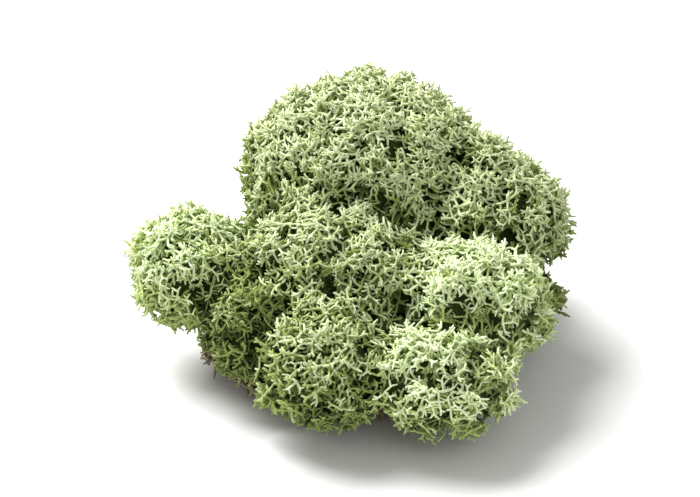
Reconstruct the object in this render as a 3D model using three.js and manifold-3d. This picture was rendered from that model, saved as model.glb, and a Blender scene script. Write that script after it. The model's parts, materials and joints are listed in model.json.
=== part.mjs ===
// A clump of reindeer lichen (Cladonia stellaris), which florists sell as reindeer moss.
//
// The clump is twelve rounded heads that grew side by side out of one mat of older stems. A head is a
// cushion of forked branchlets: here a core, and standing out of it three-pronged sprigs whose tips end
// on the head's rounded outline. Where two heads press on each other both are flattened against a wall
// half way between them, so every head lies inside a cell of its own.
//
// Units are millimetres. +Z is up, +X is the long side of the clump and -Y is its low front. The origin
// is the centre of the small flat spot that the clump rests on.

import * as THREE from "three";
import { mergeVertices } from "three/addons/utils/BufferGeometryUtils.js";
import Module from "manifold-3d";

const wasm = await Module();
wasm.setup();

// ---- Driving dimensions -------------------------------------------------------------------------

// Each head's middle, and its half width (x), half depth (y) and half height (z). The crown also has a
// small knob: a bump towards a direction, its height, and how wide it is as an angle from the middle.
const KNOB = { toward: [18, 13, 21], height: 5.5, width: 0.2 };
const HEADS = [
  { name: "head_crown", middle: [2, 19, 41], half: [33, 31, 29], knob: KNOB },
  { name: "head_shoulder", middle: [36, 6, 34], half: [22, 24, 21] },
  { name: "head_tongue", middle: [-41, -4, 27], half: [18.5, 19, 17.5] },
  { name: "head_hollow", middle: [-27, -24, 22], half: [16.5, 16, 15] },
  { name: "head_middle", middle: [-5, -13, 31], half: [29, 22, 19] },
  { name: "head_pale", middle: [31, -23, 26.5], half: [22, 21, 19] },
  { name: "head_front_left", middle: [-7, -40, 20], half: [21.5, 21.5, 18] },
  { name: "head_front_right", middle: [23, -44, 18.5], half: [21.5, 20, 17.5] },
  { name: "head_back_left", middle: [-29, 19, 14], half: [18, 18.5, 13] },
  { name: "head_back_right", middle: [28, 27, 28], half: [24, 23, 22] },
  { name: "head_low_back", middle: [-4, 34.5, 18], half: [23, 15.5, 16] },
  { name: "head_low_right", middle: [40, 2, 16], half: [16, 19, 13] },
];

// The mat of old stems: a flat lens under the heads. Its top follows a wide sphere whose middle is far
// below, so that the walls between it and the heads lie nearly level.
const MAT = {
  name: "stem_mat",
  middle: [0, 0, 11],
  half: [43, 43, 13.5],
  lowerHalfHeight: 12.5,
  wallMiddle: [0, 0, -70],
  wallRadius: 90,
};

const CELL_GAP = 0.35; // free space between two cells
const WELD = 0.08; // the most that a joined surface is simplified by
const FLOOR_CLEARANCE = 1.2; // the lowest that a head reaches above the flat spot

// The sprigs of a head: each grows from a triangle of the core and splays into three prongs.
const SPRIG = {
  footSide: 4.5, // side of the core's triangles
  stand: 3.8, // from the core to the outline
  dimpleDepth: 2.3, // from the outline down to the hollow between the prongs
  leastLean: 0.47, // how far a prong leans over the next triangle: 1 is to that triangle's middle
  mostLean: 0.85,
  unevenness: 1.3, // how much shorter than the outline a prong may end
  leastRise: 0.9, // prongs that would be squeezed shorter than this are left out
};

// How far the core rises and falls between the sprigs.
const CORE_RELIEF = 0.7;

// The rounded buds that make up a head's outline, with creases between them.
const BUD = {
  spacing: 15,
  crease: 0.13, // how deep the deepest crease is, as a share of the head's radius
  turn: [0.9, 1.7, 0.6], // angles that turn each next head's buds, so that no two heads look alike
};

// A head's root: the part of its core that reaches down to the mat. It is full where a direction is
// nearer than fullCosine to straight at the mat, and fades out by edgeCosine.
const ROOT = { edgeCosine: 0.8, fullCosine: 0.93 };

// The underside and rim of the mat: bare stems that lie side by side and run outwards, as ridges with
// grooves between them. The rings give the distance from the middle at which the ridges are shaped.
const RIDGES = {
  count: 38,
  flatRadius: 20,
  lowerRings: [24, 28.5, 33, 36.5, 40],
  ringShift: 1.6, // how far out or in a ridge's bends may lie from their ring
  rimDrop: 3, // from the mat's middle level down to the rim's edge
  upperRings: [40.5, 35, 25, 11],
  groove: 2.6, // the deepest groove below, and on the upper side
  upperGroove: 1.2,
  proud: 0.3, // how far a ridge stands out of the mat, as a share of the groove
  unevenness: 0.5,
  swing: 0.32, // how far a ridge wanders sideways, as a share of the room to the next groove
  clearance: 0.25, // the lowest that a ridge reaches above the flat spot
};

// Loose stems that stand out of the rim and curve up.
const STEMS = { count: 16, innerRadius: 30, outerRadius: 46.5, thickness: 2.4, tipHeight: 7, swing: 0.16 };

const COLOURS = {
  moss: 0x9fae77,
  palerMoss: 0xb4c08c,
  deeperMoss: 0x8b9a66,
  stems: 0x8d8a6a,
};

const HEAD_COLOUR = {
  head_pale: COLOURS.palerMoss,
  head_front_right: COLOURS.palerMoss,
  head_tongue: COLOURS.palerMoss,
  head_hollow: COLOURS.deeperMoss,
  head_shoulder: COLOURS.deeperMoss,
  head_low_back: COLOURS.deeperMoss,
  head_low_right: COLOURS.deeperMoss,
};

// ---- Small helpers ------------------------------------------------------------------------------

const vector = ([x, y, z]) => new THREE.Vector3(x, y, z);
const mix = (a, b, share) => a + (b - a) * share;
const FULL_TURN = 2 * Math.PI;

// A repeatable random source: the same seed always gives the same clump.
function randomFrom(seed) {
  let state = seed;
  return () => {
    state = (state + 0x6d2b79f5) | 0;
    let t = Math.imul(state ^ (state >>> 15), 1 | state);
    t = (t + Math.imul(t ^ (t >>> 7), 61 | t)) ^ t;
    return ((t ^ (t >>> 14)) >>> 0) / 4294967296;
  };
}

// Directions spread evenly over a sphere, in a spiral from pole to pole.
function evenDirections(count) {
  const golden = Math.PI * (3 - Math.sqrt(5));
  return Array.from({ length: count }, (_, i) => {
    const z = 1 - (2 * i + 1) / count;
    const across = Math.sqrt(1 - z * z);
    return new THREE.Vector3(across * Math.cos(golden * i), across * Math.sin(golden * i), z);
  });
}

// Distance from the middle of an ellipsoid to its surface along a unit direction.
function ellipsoidRadius(half, direction) {
  return 1 / Math.hypot(direction.x / half[0], direction.y / half[1], direction.z / half[2]);
}

// Roughly the surface of an ellipsoid.
function ellipsoidArea([a, b, c]) {
  return 4 * Math.PI * ((a * b + a * c + b * c) / 3);
}

// A closed three.js geometry as a manifold-3d solid.
function solidOf(geometry) {
  const bare = geometry.clone();
  bare.deleteAttribute("normal");
  bare.deleteAttribute("uv");
  const merged = mergeVertices(bare, 1e-4);
  const vertProperties = new Float32Array(merged.attributes.position.array);
  const triVerts = new Uint32Array(merged.index.array);
  return new wasm.Manifold(new wasm.Mesh({ numProp: 3, vertProperties, triVerts }));
}

function geometryOf(solid) {
  const { vertProperties, triVerts } = solid.getMesh();
  return new THREE.BufferGeometry()
    .setAttribute("position", new THREE.BufferAttribute(new Float32Array(vertProperties), 3))
    .setIndex(new THREE.BufferAttribute(new Uint32Array(triVerts), 1));
}

function geometryFrom(points, faces) {
  const position = new Float32Array(points.flatMap((p) => [p.x, p.y, p.z]));
  return new THREE.BufferGeometry()
    .setAttribute("position", new THREE.BufferAttribute(position, 3))
    .setIndex(faces.flat());
}

// The solids as one body. Where they shut in a pocket of air between them, it is filled: the body kept
// is the outer shell, which is the largest of the joined solid's separate surfaces.
function fuse(solids) {
  const joined = wasm.Manifold.union(solids).simplify(WELD);
  return joined.decompose().reduce((kept, next) => (next.volume() > kept.volume() ? next : kept));
}

// ---- Cells: the walls between neighbours --------------------------------------------------------

// The wall of one body towards another: a plane half way across the overlap of the two outlines.
// A point p is on the body's own side where normal . p <= offset.
function wallBetween(own, other) {
  const toOther = other.wallMiddle.clone().sub(own.wallMiddle);
  const apart = toOther.length();
  const normal = toOther.normalize();
  const ownRadius = own.wallRadiusAlong(normal);
  const otherRadius = other.wallRadiusAlong(normal.clone().negate());
  const distance = (apart + ownRadius - otherRadius) / 2;
  return { normal, offset: normal.dot(own.wallMiddle) + distance - CELL_GAP / 2 };
}

// A head or the mat as a body: its outline by direction, and the walls of its cell.
function headBody(head) {
  const middle = vector(head.middle);
  return {
    ...head,
    middle,
    wallMiddle: middle,
    wallRadiusAlong: (direction) => ellipsoidRadius(head.half, direction),
  };
}

function matBody(mat) {
  return {
    ...mat,
    middle: vector(mat.middle),
    wallMiddle: vector(mat.wallMiddle),
    wallRadiusAlong: () => mat.wallRadius,
  };
}

const heads = HEADS.map(headBody);
const mat = matBody(MAT);
const bodies = [...heads, mat];
for (const body of bodies) {
  body.walls = bodies.filter((other) => other !== body).map((other) => wallBetween(body, other));
}
const headFloor = { normal: new THREE.Vector3(0, 0, -1), offset: -FLOOR_CLEARANCE };
for (const head of heads) head.walls.push(headFloor);

// Distance from a point inside a cell to its nearest wall along a unit direction.
function distanceToWalls(walls, from, direction) {
  let nearest = Infinity;
  for (const { normal, offset } of walls) {
    const approach = normal.dot(direction);
    if (approach > 1e-6) nearest = Math.min(nearest, (offset - normal.dot(from)) / approach);
  }
  return nearest;
}

// Moves a point straight back until it is at least `margin` inside every wall.
function bendClear(point, walls, margin) {
  for (let pass = 0; pass < 3; pass++) {
    for (const { normal, offset } of walls) {
      const past = normal.dot(point) - (offset - margin);
      if (past > 0) point.addScaledVector(normal, -past);
    }
  }
  return point;
}

// ---- Heads --------------------------------------------------------------------------------------

// The directions of a head's buds: even, and turned differently for each head.
function budDirections(head, index) {
  const turn = new THREE.Euler(...BUD.turn.map((angle) => angle * (index + 1)));
  const count = Math.round(ellipsoidArea(head.half) / BUD.spacing ** 2);
  return evenDirections(count).map((direction) => direction.applyEuler(turn));
}

// How far a head's knob stands out of its outline along a direction.
function knobRise({ knob }, direction) {
  if (!knob) return 0;
  return knob.height * Math.exp(-((vector(knob.toward).angleTo(direction) / knob.width) ** 2));
}

// The head's outline, before its neighbours press on it: an ellipsoid of rounded buds.
function outline(head, direction) {
  const nearest = Math.max(...head.buds.map((bud) => bud.dot(direction)));
  const away = Math.acos(Math.min(1, nearest)) / head.budAngle;
  const rise = Math.sqrt(Math.max(0, 1 - away * away));
  const rounded = ellipsoidRadius(head.half, direction) * (1 - BUD.crease * (1 - rise));
  return rounded + knobRise(head, direction);
}

// Where a direction points at the mat, the core reaches down to it as the head's root.
function rootShare(head, direction) {
  const down = mat.wallMiddle.clone().sub(head.middle).normalize();
  return THREE.MathUtils.smoothstep(direction.dot(down), ROOT.edgeCosine, ROOT.fullCosine);
}

// The core's net: even triangles over a sphere, as large as the sprigs' feet.
function coreNet(head) {
  const coreHalf = head.half.map((half) => half - SPRIG.stand);
  const footArea = (Math.sqrt(3) / 4) * SPRIG.footSide ** 2;
  const trianglesPerFace = ellipsoidArea(coreHalf) / footArea / 20;
  const geometry = new THREE.IcosahedronGeometry(1, Math.round(Math.sqrt(trianglesPerFace)) - 1);
  geometry.deleteAttribute("normal");
  geometry.deleteAttribute("uv");
  const net = mergeVertices(geometry, 1e-4);
  const { position } = net.attributes;
  const directions = Array.from({ length: position.count }, (_, i) =>
    new THREE.Vector3().fromBufferAttribute(position, i).normalize(),
  );
  const triangles = [];
  for (let i = 0; i < net.index.count; i += 3) {
    const corners = [...net.index.array.slice(i, i + 3)];
    const sum = corners.reduce((total, corner) => total.add(directions[corner]), new THREE.Vector3());
    triangles.push({ corners, middle: sum.normalize() });
  }
  return { directions, triangles };
}

const sideKey = (i, j) => (i < j ? `${i}-${j}` : `${j}-${i}`);
const sidesOf = ([a, b, c]) => [[a, b], [b, c], [c, a]];

// Distance from the head's middle to its core along a direction.
function coreReach(head, direction, relief) {
  const surface = outline(head, direction);
  const free = mix(surface - SPRIG.stand + relief, surface + SPRIG.stand, rootShare(head, direction));
  return Math.min(free, distanceToWalls(head.walls, head.middle, direction));
}

// A head is one closed surface: the core's triangles, many of them with a sprig in the triangle's place.
// No two sprigs grow on triangles that share a side, so a prong always has that side's room to lean.
function headGeometry(head, index) {
  head.buds = budDirections(head, index);
  head.budAngle = 1.05 * Math.sqrt(FULL_TURN / head.buds.length);
  const random = randomFrom(100 + index);
  const { directions, triangles } = coreNet(head);

  const points = directions.map((direction) => {
    const relief = mix(-CORE_RELIEF, CORE_RELIEF, random());
    return direction.clone().multiplyScalar(coreReach(head, direction, relief)).add(head.middle);
  });
  const place = (direction, reach) => {
    const room = distanceToWalls(head.walls, head.middle, direction);
    points.push(direction.clone().multiplyScalar(Math.min(reach, room)).add(head.middle));
    return points.length - 1;
  };

  const sharing = new Map(); // a side, to the two triangles that share it
  for (const triangle of triangles) {
    for (const [i, j] of sidesOf(triangle.corners)) {
      const key = sideKey(i, j);
      sharing.set(key, [...(sharing.get(key) ?? []), triangle]);
    }
  }

  const taken = new Set();
  const faces = [];
  const order = triangles.map((triangle) => ({ triangle, rank: random() })).sort((a, b) => a.rank - b.rank);
  for (const { triangle } of order) {
    const sides = sidesOf(triangle.corners);
    const prongs = sides.map(([i, j]) => {
      const beyond = sharing.get(sideKey(i, j)).find((other) => other !== triangle).middle;
      const side = directions[i].clone().add(directions[j]).normalize();
      const direction = side.lerp(beyond, mix(SPRIG.leastLean, SPRIG.mostLean, random())).normalize();
      return { direction, reach: outline(head, direction) - SPRIG.unevenness * random() };
    });
    const squeezed = prongs.some(({ direction, reach }) => {
      const room = Math.min(reach, distanceToWalls(head.walls, head.middle, direction));
      return room - coreReach(head, direction, 0) < SPRIG.leastRise;
    });
    const crowded = sides.some(([i, j]) => taken.has(sideKey(i, j)));
    if (squeezed || crowded) {
      faces.push(triangle.corners);
      continue;
    }
    for (const [i, j] of sides) taken.add(sideKey(i, j));
    const dimple = place(triangle.middle, outline(head, triangle.middle) - SPRIG.dimpleDepth);
    sides.forEach(([i, j], k) => {
      const tip = place(prongs[k].direction, prongs[k].reach);
      faces.push([i, j, tip], [j, dimple, tip], [dimple, i, tip]);
    });
  }
  return geometryFrom(points, faces);
}

// ---- The mat of old stems -----------------------------------------------------------------------

// Height of the mat's surface at a distance from its middle, below or above the rim.
function matHeight(radius, side) {
  const share = Math.min(1, radius / mat.half[0]);
  const half = side < 0 ? mat.lowerHalfHeight : mat.half[2];
  return mat.middle.z + side * half * Math.sqrt(1 - share * share);
}

// Keeps a point of the mat inside its cell by moving it straight towards the mat's middle.
function insideMatCell(point) {
  const direction = point.clone().sub(mat.middle);
  const length = direction.length();
  direction.divideScalar(length);
  const room = distanceToWalls(mat.walls, mat.middle, direction);
  return direction.multiplyScalar(Math.min(length, room)).add(mat.middle);
}

// The rings that shape the ridges, from the flat spot out along the underside and back over the top. A
// groove is cut upwards on the underside, inwards as well at the rim, and downwards on the upper side.
function matRings() {
  const below = RIDGES.lowerRings.map((radius) => ({
    radius,
    height: matHeight(radius, -1),
    groove: RIDGES.groove,
    up: 1,
    inwards: 0,
    shift: RIDGES.ringShift,
  }));
  const rim = {
    radius: mat.half[0],
    height: mat.middle.z - RIDGES.rimDrop,
    groove: RIDGES.groove,
    up: 0.5,
    inwards: 1,
    shift: RIDGES.ringShift,
  };
  const above = RIDGES.upperRings.map((radius) => ({
    radius,
    height: matHeight(radius, 1),
    groove: RIDGES.upperGroove,
    up: -1,
    inwards: 0,
    shift: 0,
  }));
  return [...below, rim, ...above];
}

// The mat is one closed surface of rings and spokes. Every other spoke is a ridge, and the rest grooves.
function matGeometry(random) {
  const spokes = 2 * RIDGES.count;
  const onSpoke = (radius, spoke, height) => {
    const bearing = (spoke / spokes) * FULL_TURN;
    return new THREE.Vector3(radius * Math.cos(bearing), radius * Math.sin(bearing), height);
  };
  const points = [new THREE.Vector3(0, 0, 0)];
  for (let i = 0; i < spokes; i++) points.push(onSpoke(RIDGES.flatRadius, i, 0));

  const wander = new Array(spokes).fill(0);
  const rings = matRings();
  for (const { radius, height, groove, up, inwards, shift } of rings) {
    for (let i = 0; i < spokes; i++) {
      const step = (RIDGES.swing / 2) * mix(-1, 1, random());
      wander[i] = THREE.MathUtils.clamp(wander[i] + step, -RIDGES.swing, RIDGES.swing);
      const cut = (i % 2 ? groove : -RIDGES.proud * groove) * mix(1 - RIDGES.unevenness, 1, random());
      const out = radius + shift * mix(-1, 1, random()) - inwards * cut;
      const level = Math.max(height + up * cut, RIDGES.clearance);
      points.push(insideMatCell(onSpoke(out, i + wander[i], level)));
    }
  }
  const top = points.length;
  points.push(insideMatCell(new THREE.Vector3(0, 0, matHeight(0, 1))));

  const at = (ring, i) => 1 + ring * spokes + (i % spokes);
  const last = rings.length;
  const faces = [];
  for (let i = 0; i < spokes; i++) {
    faces.push([0, at(0, i + 1), at(0, i)]);
    for (let ring = 0; ring < last; ring++) {
      faces.push([at(ring, i), at(ring, i + 1), at(ring + 1, i + 1)]);
      faces.push([at(ring, i), at(ring + 1, i + 1), at(ring + 1, i)]);
    }
    faces.push([at(last, i), at(last, i + 1), top]);
  }
  return geometryFrom(points, faces);
}

// A loose stem: a three-sided rod that leaves the underside, runs outwards and curves up past the rim.
function stemGeometry(angle, random) {
  const half = STEMS.thickness / 2;
  const inner = STEMS.innerRadius * mix(0.9, 1.1, random());
  const outer = STEMS.outerRadius * mix(0.9, 1.02, random());
  const between = (inner + outer) / 2;
  const swing = STEMS.swing * mix(-1, 1, random());
  const stations = [
    { radius: inner, height: matHeight(inner, -1) + 2 * half, share: 0 },
    { radius: between, height: matHeight(between, -1) + 0.2 * half, share: 0.5 },
    { radius: outer, height: STEMS.tipHeight * mix(0.7, 1.3, random()), share: 1 },
  ];
  const points = stations.flatMap(({ radius, height, share }) => {
    const bearing = angle + swing * share ** 2;
    const width = half * (1 - 0.5 * share);
    const level = Math.max(height, RIDGES.clearance + width);
    const centre = new THREE.Vector3(radius * Math.cos(bearing), radius * Math.sin(bearing), level);
    const sideways = new THREE.Vector3(-Math.sin(bearing), Math.cos(bearing), 0);
    return [
      centre.clone().addScaledVector(sideways, width).setZ(level + 0.6 * width),
      centre.clone().setZ(level - width),
      centre.clone().addScaledVector(sideways, -width).setZ(level + 0.6 * width),
    ].map((point) => bendClear(point, mat.walls, 0.05));
  });
  const faces = [[0, 1, 2], [6, 8, 7]];
  for (const here of [0, 3]) {
    for (let k = 0; k < 3; k++) {
      const next = (k + 1) % 3;
      faces.push([here + k, here + 3 + next, here + next], [here + k, here + 3 + k, here + 3 + next]);
    }
  }
  return geometryFrom(points, faces);
}

function matSolid() {
  const random = randomFrom(7);
  const stems = Array.from({ length: STEMS.count }, (_, i) => {
    const angle = ((i + 0.6 * random()) / STEMS.count) * FULL_TURN;
    return solidOf(stemGeometry(angle, random));
  });
  return fuse([solidOf(matGeometry(random)), ...stems]);
}

// ---- The clump ----------------------------------------------------------------------------------

function meshOf(name, geometry, colour) {
  const look = { color: colour, roughness: 0.95, metalness: 0, flatShading: true };
  const mesh = new THREE.Mesh(geometry, new THREE.MeshStandardMaterial(look));
  mesh.name = name;
  return mesh;
}

const clump = new THREE.Group();
heads.forEach((head, index) => {
  clump.add(meshOf(head.name, headGeometry(head, index), HEAD_COLOUR[head.name] ?? COLOURS.moss));
});
clump.add(meshOf(mat.name, geometryOf(matSolid()), COLOURS.stems));

export default clump;
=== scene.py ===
# %% [markdown]
# # A clump of reindeer moss
# Reindeer moss is a lichen. It has no leaves: each little plant is a stalk that forks again and again, so
# thousands of tips close up into round, springy heads with dark gaps between the strands. This lesson
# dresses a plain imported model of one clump, twelve heads on a mat of dead stems, and keeps its places and
# sizes. We start by loading that model. It is the fixed frame of the scene, and its outer box is kept for
# later.

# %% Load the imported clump
import json
import math
import random

import bmesh
import bpy
import numpy as np
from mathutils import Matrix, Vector, noise
from mathutils.bvhtree import BVHTree
from mathutils.kdtree import KDTree

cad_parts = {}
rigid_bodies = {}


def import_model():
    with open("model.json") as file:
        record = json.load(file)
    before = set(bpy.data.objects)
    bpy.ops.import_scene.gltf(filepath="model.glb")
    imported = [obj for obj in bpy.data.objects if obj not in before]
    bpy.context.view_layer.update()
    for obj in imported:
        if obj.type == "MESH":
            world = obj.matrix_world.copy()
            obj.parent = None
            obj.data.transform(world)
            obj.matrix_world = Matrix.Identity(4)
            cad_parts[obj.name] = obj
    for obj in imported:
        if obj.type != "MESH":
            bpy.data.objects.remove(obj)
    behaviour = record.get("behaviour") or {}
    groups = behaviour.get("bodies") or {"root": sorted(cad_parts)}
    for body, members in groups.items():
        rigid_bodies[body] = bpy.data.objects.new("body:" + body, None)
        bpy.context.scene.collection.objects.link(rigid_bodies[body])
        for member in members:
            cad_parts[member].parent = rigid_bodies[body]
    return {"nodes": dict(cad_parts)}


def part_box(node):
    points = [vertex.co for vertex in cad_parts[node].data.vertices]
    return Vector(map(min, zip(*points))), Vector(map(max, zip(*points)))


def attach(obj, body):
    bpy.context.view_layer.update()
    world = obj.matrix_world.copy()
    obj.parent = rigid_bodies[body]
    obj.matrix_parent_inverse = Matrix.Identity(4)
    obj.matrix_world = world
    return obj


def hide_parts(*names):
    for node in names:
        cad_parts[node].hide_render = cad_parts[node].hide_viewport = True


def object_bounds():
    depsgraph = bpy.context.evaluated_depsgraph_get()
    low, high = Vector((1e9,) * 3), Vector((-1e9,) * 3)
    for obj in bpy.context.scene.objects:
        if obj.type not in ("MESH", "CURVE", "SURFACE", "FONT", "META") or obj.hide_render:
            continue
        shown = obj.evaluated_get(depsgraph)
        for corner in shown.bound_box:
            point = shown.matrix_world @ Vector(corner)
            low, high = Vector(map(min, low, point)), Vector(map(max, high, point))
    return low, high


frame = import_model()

MM = 0.001
packed_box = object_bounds()
heads = sorted(name for name in frame["nodes"] if name.startswith("head_"))
slot_of = {name: node.data.materials[0].name for name, node in frame["nodes"].items()}


def in_mm(box):
    """The two corners of a box as six numbers in mm, for printing."""
    return [round(x / MM, 1) for corner in box for x in corner]


print("heads:", len(heads), "box in mm:", in_mm(packed_box))

# %% [markdown]
# ## The camera
# A clump is looked at from a little above, as on a table. A long lens a good step away keeps the far heads
# nearly as large as the near ones. The camera is aimed at the middle of the clump's box, so it follows if
# the model changes.

# %% Place the camera
LOOK_DOWN = math.radians(28.5)
CAMERA_DISTANCE = 1.27
LENS_MM = 258
NEAREST_SEEN = 0.01
FARTHEST_SEEN = 20

middle = (packed_box[0] + packed_box[1]) / 2
camera_data = bpy.data.cameras.new("camera")
camera_data.lens = LENS_MM
camera_data.clip_start = NEAREST_SEEN
camera_data.clip_end = FARTHEST_SEEN
camera = bpy.data.objects.new("camera", camera_data)
bpy.context.scene.collection.objects.link(camera)
camera.location = middle + CAMERA_DISTANCE * Vector((0, -math.cos(LOOK_DOWN), math.sin(LOOK_DOWN)))
camera.rotation_euler = (math.pi / 2 - LOOK_DOWN, 0, 0)
bpy.context.scene.camera = camera
print("camera looks down by", round(math.degrees(LOOK_DOWN), 1), "degrees")

# %% [markdown]
# ## Shader maths as Python
# A material is a web of nodes. Wiring them one by one hides the idea behind dozens of lines, so one small
# class wraps a socket. Adding, subtracting or multiplying two wrapped sockets then lays a Math node, and
# one method lays any other node from its type, its settings and what its sockets hold.

# %% A wrapped socket
class Pen:
    """A socket of a node tree that Python can calculate with."""

    def __init__(self, tree, socket=None):
        self.tree, self.socket = tree, socket

    def node(self, kind, settings=None, sockets=None, out=0):
        """Lays a node: first its settings, then its sockets' values or links. Gives back one output."""
        made = self.tree.nodes.new(kind)
        for name, value in (settings or {}).items():
            if name == "stops":
                ramp = made.color_ramp
                while len(ramp.elements) < len(value):
                    ramp.elements.new(1.0)
                for stop, (place, colour) in zip(ramp.elements, value):
                    stop.position, stop.color = place, (*colour, 1)
            else:
                setattr(made, name, value)
        for name, value in (sockets or {}).items():
            socket = made.inputs[name]
            if isinstance(value, Pen):
                self.tree.links.new(value.socket, socket)
            else:
                socket.default_value = value
        return Pen(self.tree, made.outputs[out] if made.outputs else None)

    def maths(self, operation, *terms):
        """Lays a Math node on its terms, which are wrapped sockets or numbers."""
        return self.node("ShaderNodeMath", {"operation": operation}, dict(enumerate(terms)))

    def __add__(self, other):
        return self.maths("ADD", self, other)

    def __sub__(self, other):
        return self.maths("SUBTRACT", self, other)

    def __rsub__(self, other):
        return self.maths("SUBTRACT", other, self)

    def __mul__(self, other):
        return self.maths("MULTIPLY", self, other)

    __radd__, __rmul__ = __add__, __mul__

    def mix(self, other, amount):
        """This colour where amount is 0 and the other where it is 1."""
        return self.node("ShaderNodeMix", {"data_type": "RGBA"}, {0: amount, 6: self, 7: other}, 2)


# %% [markdown]
# ## The finish of the lichen
# Up close a strand is matt and slightly felted. Its colour runs from almost black-green at the root through
# olive along the stalk to pale sage and cream at the tip. The lichen's old base is darker than its tips, and
# the near-black of the root adds painted shade on top of that, for the shade down between the strands. That
# change belongs to the strand, not to a place in the room, so it can't be read from coordinates in space.
# Each strand instead carries two numbers in a UV map: V runs from 0 at the root to 1 at the tip, and is
# pushed down further by painted shade where a sprig stands in a shaded place; U says which tint this plant
# has. The material turns both into colour. A noise drawn over the same map mottles it, and most at the tip,
# so that the dark roots stay dark.

# %% The lichen material
STRAND_MAP = "OFBake"
GRAIN_SCALE = (150, 45, 1)  # grains of the mottling across the tints and along a strand
GRAIN_MIDDLE = 0.45
ROOT_MOTTLE = 0.3  # how far a grain shifts the colour at the root,
TIP_MOTTLE = 0.5  # and how much further at the tip
BODY_SHARE = 0.65  # of the body colour in the tone between it and the dark root
WARMER = (1.1, 1.02, 0.85)
COOL_STOPS = (0.0, 0.24, 0.50, 0.92)  # where dark, middle, body and tip colour stand on a strand
WARM_STOPS = (0.0, 0.28, 0.54, 0.92)
FELT_DEPTH = 0.4 * MM
ROOT_ROUGHNESS = 0.97
TIP_SMOOTHING = 0.12  # how much less rough the tip is


def lichen_finish(name, dark, body, tip, warm_tip):
    """A matt lichen skin: dark at the root, partly as painted shade, body colour along the stalk, tip or
    warm_tip at the end.
    """
    material = bpy.data.materials.new(name + "_strands")
    material.use_nodes = True
    tree = material.node_tree
    tree.nodes.clear()
    pen = Pen(tree)
    places = pen.node("ShaderNodeUVMap", {"uv_map": STRAND_MAP})
    tint = pen.node("ShaderNodeSeparateXYZ", None, {0: places}, 0)
    height = pen.node("ShaderNodeSeparateXYZ", None, {0: places}, 1)
    grain_place = pen.node("ShaderNodeMapping", None, {"Vector": places, "Scale": GRAIN_SCALE})
    grain = pen.node("ShaderNodeTexNoise", None, {
        "Vector": grain_place, "Scale": 1, "Detail": 4, "Roughness": 0.7})
    level = height + (ROOT_MOTTLE + TIP_MOTTLE * height) * (grain - GRAIN_MIDDLE)
    middle_tone = [d * (1 - BODY_SHARE) + b * BODY_SHARE for d, b in zip(dark, body)]
    warm_body = [b * w for b, w in zip(body, WARMER)]
    cool_stops = list(zip(COOL_STOPS, (dark, middle_tone, body, tip)))
    warm_stops = list(zip(WARM_STOPS, (dark, middle_tone, warm_body, warm_tip)))
    cool = pen.node("ShaderNodeValToRGB", {"stops": cool_stops}, {0: level})
    warm = pen.node("ShaderNodeValToRGB", {"stops": warm_stops}, {0: level})
    colour = cool.mix(warm, tint)
    felt = pen.node("ShaderNodeBump", None, {"Strength": 0.5, "Distance": FELT_DEPTH, "Height": grain})
    roughness = ROOT_ROUGHNESS - TIP_SMOOTHING * height
    shader = pen.node("ShaderNodeBsdfPrincipled", None, {
        "Base Color": colour, "Roughness": roughness, "Normal": felt,
        "Sheen Weight": 0.04, "Sheen Roughness": 0.5, "Specular IOR Level": 0.12})
    pen.node("ShaderNodeOutputMaterial", None, {"Surface": shader})
    return material


# The dark root colours are partly the lichen's own old base and partly painted shade between the strands.
TONES = {  # dark root, body, cool tip, warm tip
    "moss": ((0.019, 0.029, 0.001), (0.33, 0.42, 0.125), (0.65, 0.75, 0.44), (0.74, 0.79, 0.48)),
    "moss_pale": ((0.021, 0.033, 0.001), (0.47, 0.59, 0.21), (0.80, 0.93, 0.56), (0.86, 0.94, 0.60)),
    "moss_deep": ((0.014, 0.022, 0.001), (0.27, 0.35, 0.10), (0.59, 0.69, 0.38), (0.67, 0.73, 0.42)),
    "stems": ((0.035, 0.030, 0.014), (0.23, 0.21, 0.12), (0.40, 0.37, 0.24), (0.44, 0.36, 0.22)),
}
finishes = {slot: lichen_finish(slot, *tones) for slot, tones in TONES.items()}
print("finishes:", sorted(finishes))

# %% [markdown]
# ## One sprig, modelled from a block
# A sprig is the repeated part: a short stalk, a joint, arms that splay out sideways and two little prongs
# on each arm. It could be a curve with thickness or a Skin modifier. Box modelling is used here, since it
# keeps the face count in hand: a thin block is added, and faces of it are extruded, aimed and narrowed,
# again and again. The short block at each fork has free side faces, and the next arms grow out of those.

# %% Growing a sprig out of a block
FACE_REACH = 0.9 * MM  # a face to pick lies no farther than this from the point that is given
NEARLY_UPRIGHT = 0.85


def start_block(name, thickness, length):
    """A thin upright block that stands on the origin, open for editing."""
    bpy.ops.object.select_all(action="DESELECT")
    size = (thickness, thickness, length)
    bpy.ops.mesh.primitive_cube_add(size=1, location=(0, 0, length / 2), scale=size)
    block = bpy.context.object
    block.name = name
    bpy.ops.object.transform_apply(location=True, rotation=False, scale=True)
    bpy.ops.object.mode_set(mode="EDIT")
    return block


def pick_face(block, near, facing):
    """Selects only the face near a point that looks most the given way. Gives its middle and direction."""
    mesh = bmesh.from_edit_mesh(block.data)
    mesh.normal_update()
    close = [f for f in mesh.faces if (f.calc_center_median() - near).length < FACE_REACH]
    best = max(close, key=lambda f: f.normal.dot(facing))
    for face in mesh.faces:
        face.select_set(False)
    best.select_set(True)
    bmesh.update_edit_mesh(block.data)
    return best.calc_center_median().copy(), best.normal.copy()


def turn(angle, axis, about):
    """Turns the selection right-handed. With no window the operator's own sign is the other way round."""
    bpy.ops.transform.rotate(value=-angle, orient_axis=axis, center_override=about)


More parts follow.
